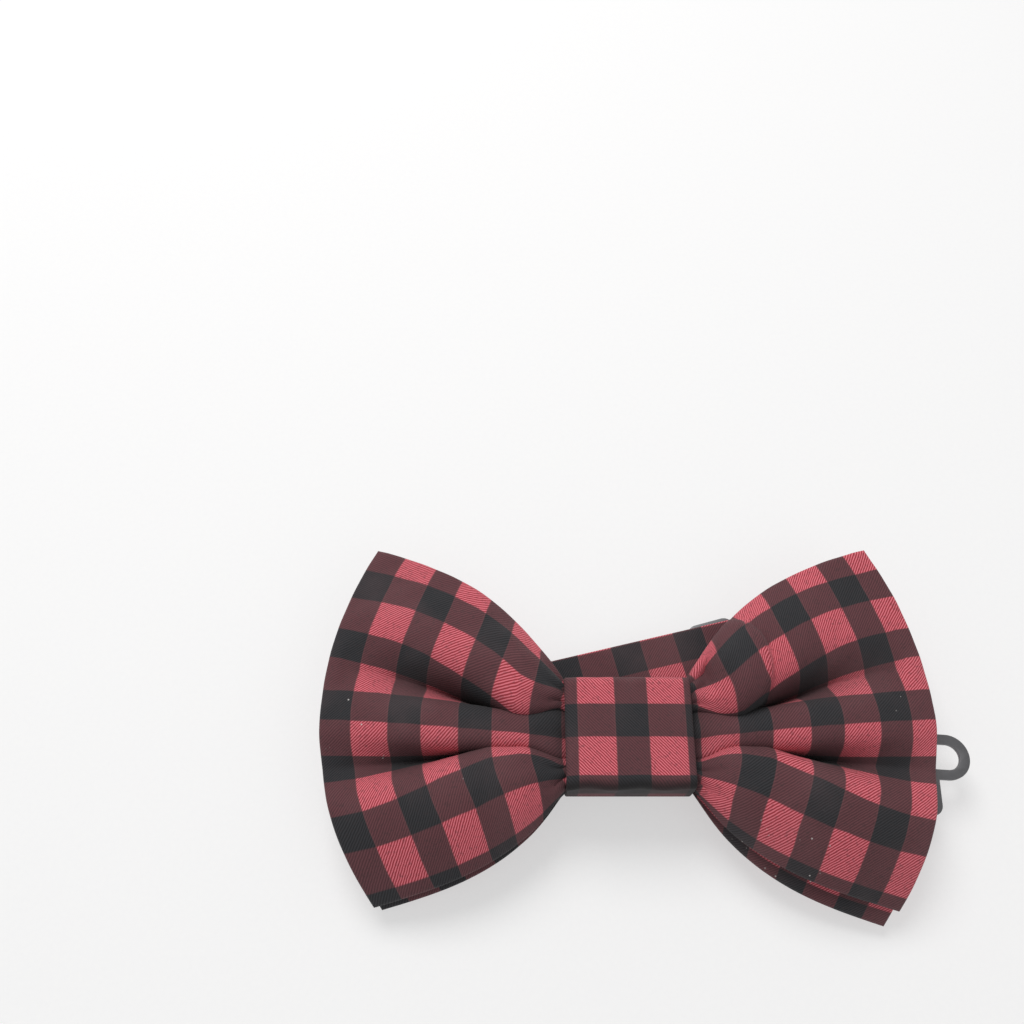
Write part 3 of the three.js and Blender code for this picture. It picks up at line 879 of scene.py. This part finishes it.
first_pattern = -to_first - first_turn - STRAP_CHECKS_START
third_pattern = second_length + second_turn - STRAP_CHECKS_START
return_pattern = third_pattern + third_length + hook_turn + third_length
first_strap = strap("strap_first_fold", 0, to_first + first_turn + second_split, first_fold_place,
                    first_pattern, (False, False), mirrored=-1)
second_strap = strap("strap_second_fold", second_split, second_length + second_turn + third_split,
                     second_fold_place, -STRAP_CHECKS_START, (False, False))
hook_strap = strap("strap_hook_end", third_split, third_length + hook_turn + OVERRUN, hook_turn_place,
                   third_pattern, (False, False), mirrored=-1)
slider_middle = (slider_low + slider_high) / 2
slider_bar_place = (np.array(slider_middle[:2]) - second_crease) @ third_way
HEM = 11 * MM  # what is folded back at a sewn end
return_strap = strap("strap_return", slider_bar_place + HEM, third_length - OVERRUN, return_place,
                     return_pattern, (False, False), turned=-1, mirrored=-1)
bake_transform(first_strap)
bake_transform(second_strap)


def on_third(distance, height=0.0):
    """A point on the line of the third run, so far from the second crease."""
    spot = second_crease + third_way * distance
    return (spot[0], spot[1], height)


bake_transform(hook_strap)
return_length = third_length - OVERRUN - slider_bar_place - HEM
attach(return_strap, "hook_end")
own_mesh(return_strap)
strap_parts = (
    (first_strap, ("neckband_fold_1", "neckband_run_2"), to_first + first_turn + second_split),
    (second_strap, ("neckband_fold_2",), second_length + second_turn + third_split - second_split),
    (hook_strap, ("neckband_run_3", "hook_end_turn"), third_length + hook_turn + OVERRUN - third_split),
    (return_strap, ("neckband_return",), return_length),
)
for piece, nodes, length in strap_parts:
    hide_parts(*nodes)

# ---------------------------------------------------------------- the strap's two sewn ends
# Each end of the strap goes round a bar, comes back against itself and is sewn down with a zigzag:
# one end round the bar of the ring eye, the other round the slider's middle bar.
LOOP = 1.15 * MM  # bar's middle to the middle of the cloth round it
SEAM_PLACE = 8 * MM  # from the bar to the middle of the stitching
LEAN_START = 14 * MM  # from the knot's middle to where the ring end leans off the straight


def sewn_route(straight, side):
    """The sewn end in its own plane, from the straight ply round the bar at the origin to its cut end."""
    arc = np.linspace(math.pi / 2, -math.pi / 2, 15)
    points = [(-straight, LOOP * side)]
    points += [(LOOP * math.cos(t), LOOP * math.sin(t) * side) for t in arc]
    points += [(-1.6 * MM, -LOOP * side), (-3.2 * MM, (-LOOP * 0.4) * side), (-4.8 * MM, 0.32 * MM * side)]
    points += [(-6.0 * MM, (LOOP - PLY) * side), (-HEM, (LOOP - PLY) * side)]
    return np.array(points)


eye_height = (eye_low.z + eye_high.z) / 2
eye_bar = np.array(joints["eye_swing"]["pos_m"][:2])
eye_across = np.array(joints["eye_swing"]["axis"][:2])
eye_way = np.array([eye_across[1], -eye_across[0]])
lean_start = np.array([knot_middle.x + LEAN_START, knot_middle.y])
lean_length = np.linalg.norm(eye_bar - lean_start)
eye_route = sewn_route(lean_start[0] - centre_split + lean_length, 1)


def eye_end_place(a, b, height):
    along, up = on_route(eye_route, a, height)
    past = along + lean_length
    lean = smooth(past, -3 * MM, 3 * MM)
    x = lean_start[0] + np.minimum(past, 0) + np.maximum(past, 0) * eye_way[0] + b * eye_across[0] * lean
    y = lean_start[1] + np.maximum(past, 0) * eye_way[1] + b * mix(1, eye_across[1], lean)
    return np.stack([x, y, eye_height + up], -1)


eye_end_length = route_length(eye_route)
eye_end = strap("strap_eye_end", 0, eye_end_length, eye_end_place, first_pattern, (False, True), turned=-1)
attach(eye_end, "bow")
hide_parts("neckband_center")
eye_seam = eye_bar - eye_way * SEAM_PLACE
eye_stitches = stitch_row("eye_end_thread", (eye_seam[0], eye_seam[1], eye_height - 0.05 * MM),
                          (eye_across[0], eye_across[1], 0), (eye_way[0], eye_way[1], 0), (0, 0, -1),
                          2 * BAND_HALF - SEAM_SPARE, SEAM_WIDTH)
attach(eye_stitches, "bow")
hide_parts("eye_end_stitches")

slider_route = sewn_route(HEM, -1)
slider_height = 1.55 * MM


def slider_end_place(a, b, height):
    along, up = on_route(slider_route, a, height)
    return laid_flat(second_crease, third_way, slider_bar_place - along, b, slider_height + up)


slider_end_length = route_length(slider_route)
slider_end = strap("strap_slider_end", 0, slider_end_length, slider_end_place,
                   return_pattern - slider_bar_place - HEM, (False, True), mirrored=-1)
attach(slider_end, "slider")
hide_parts("slider_end_wrap")
slider_seam = on_third(slider_bar_place + SEAM_PLACE, slider_height + 0.05 * MM)
slider_stitches = stitch_row("slider_end_thread", slider_seam,
                             (-third_way[1], third_way[0], 0), (third_way[0], third_way[1], 0), (0, 0, 1),
                             2 * BAND_HALF - SEAM_SPARE, SEAM_WIDTH)
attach(slider_stitches, "slider")
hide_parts("slider_end_stitches")

# ---------------------------------------------------------------- metal fittings
# The ring eye, the hook and the slider are stamped from thin steel, tumbled so that their edges are
# soft, and finished in satin gunmetal.
gunmetal = shader("gunmetal", Metallic=0.82)
metal_place = coordinates(gunmetal)
clouding = noise(gunmetal, metal_place, 160.0, 3.0)
fine_scratch = noise(gunmetal, metal_place, 2400.0, 2.0)
metal_colour = mixed((0.15, 0.151, 0.158, 1), (0.23, 0.23, 0.24, 1), clouding)
metal_colour = mixed(metal_colour, (0.36, 0.36, 0.37, 1), fine_scratch.step(0.62, 0.8) * 0.4)
feed(gunmetal, "Base Color", metal_colour)
feed(gunmetal, "Roughness", 0.36 + clouding * 0.16 + fine_scratch * 0.06)
feed(gunmetal, "Normal", bump(gunmetal, fine_scratch, 0.00003, 0.35))
for cad in ("eye", "hook", "slider"):
    stamping = frame["nodes"][cad].copy()
    stamping.data = frame["nodes"][cad].data.copy()
    stamping.name = cad + "_stamping"
    stamping.parent = None
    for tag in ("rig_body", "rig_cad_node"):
        if tag in stamping:
            del stamping[tag]
    bpy.context.scene.collection.objects.link(stamping)
    stamping.data.materials.clear()
    stamping.data.materials.append(gunmetal)
    bpy.ops.object.select_all(action="DESELECT")
    stamping.select_set(True)
    bpy.context.view_layer.objects.active = stamping
    bpy.ops.object.mode_set(mode="EDIT")
    bpy.ops.mesh.select_all(action="SELECT")
    bpy.ops.mesh.remove_doubles(threshold=0.00001)
    bpy.ops.mesh.dissolve_limited(angle_limit=math.radians(1))
    bpy.ops.object.mode_set(mode="OBJECT")
    rounding = stamping.modifiers.new("tumbled_edges", "BEVEL")
    rounding.width = 0.2 * MM
    rounding.segments = 3
    rounding.limit_method = "ANGLE"
    rounding.angle_limit = math.radians(40)
    bpy.ops.object.modifier_apply(modifier="tumbled_edges")
    bpy.ops.object.shade_smooth_by_angle(angle=math.radians(35))
    bpy.ops.object.select_all(action="DESELECT")
    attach(stamping, cad)
    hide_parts(cad)
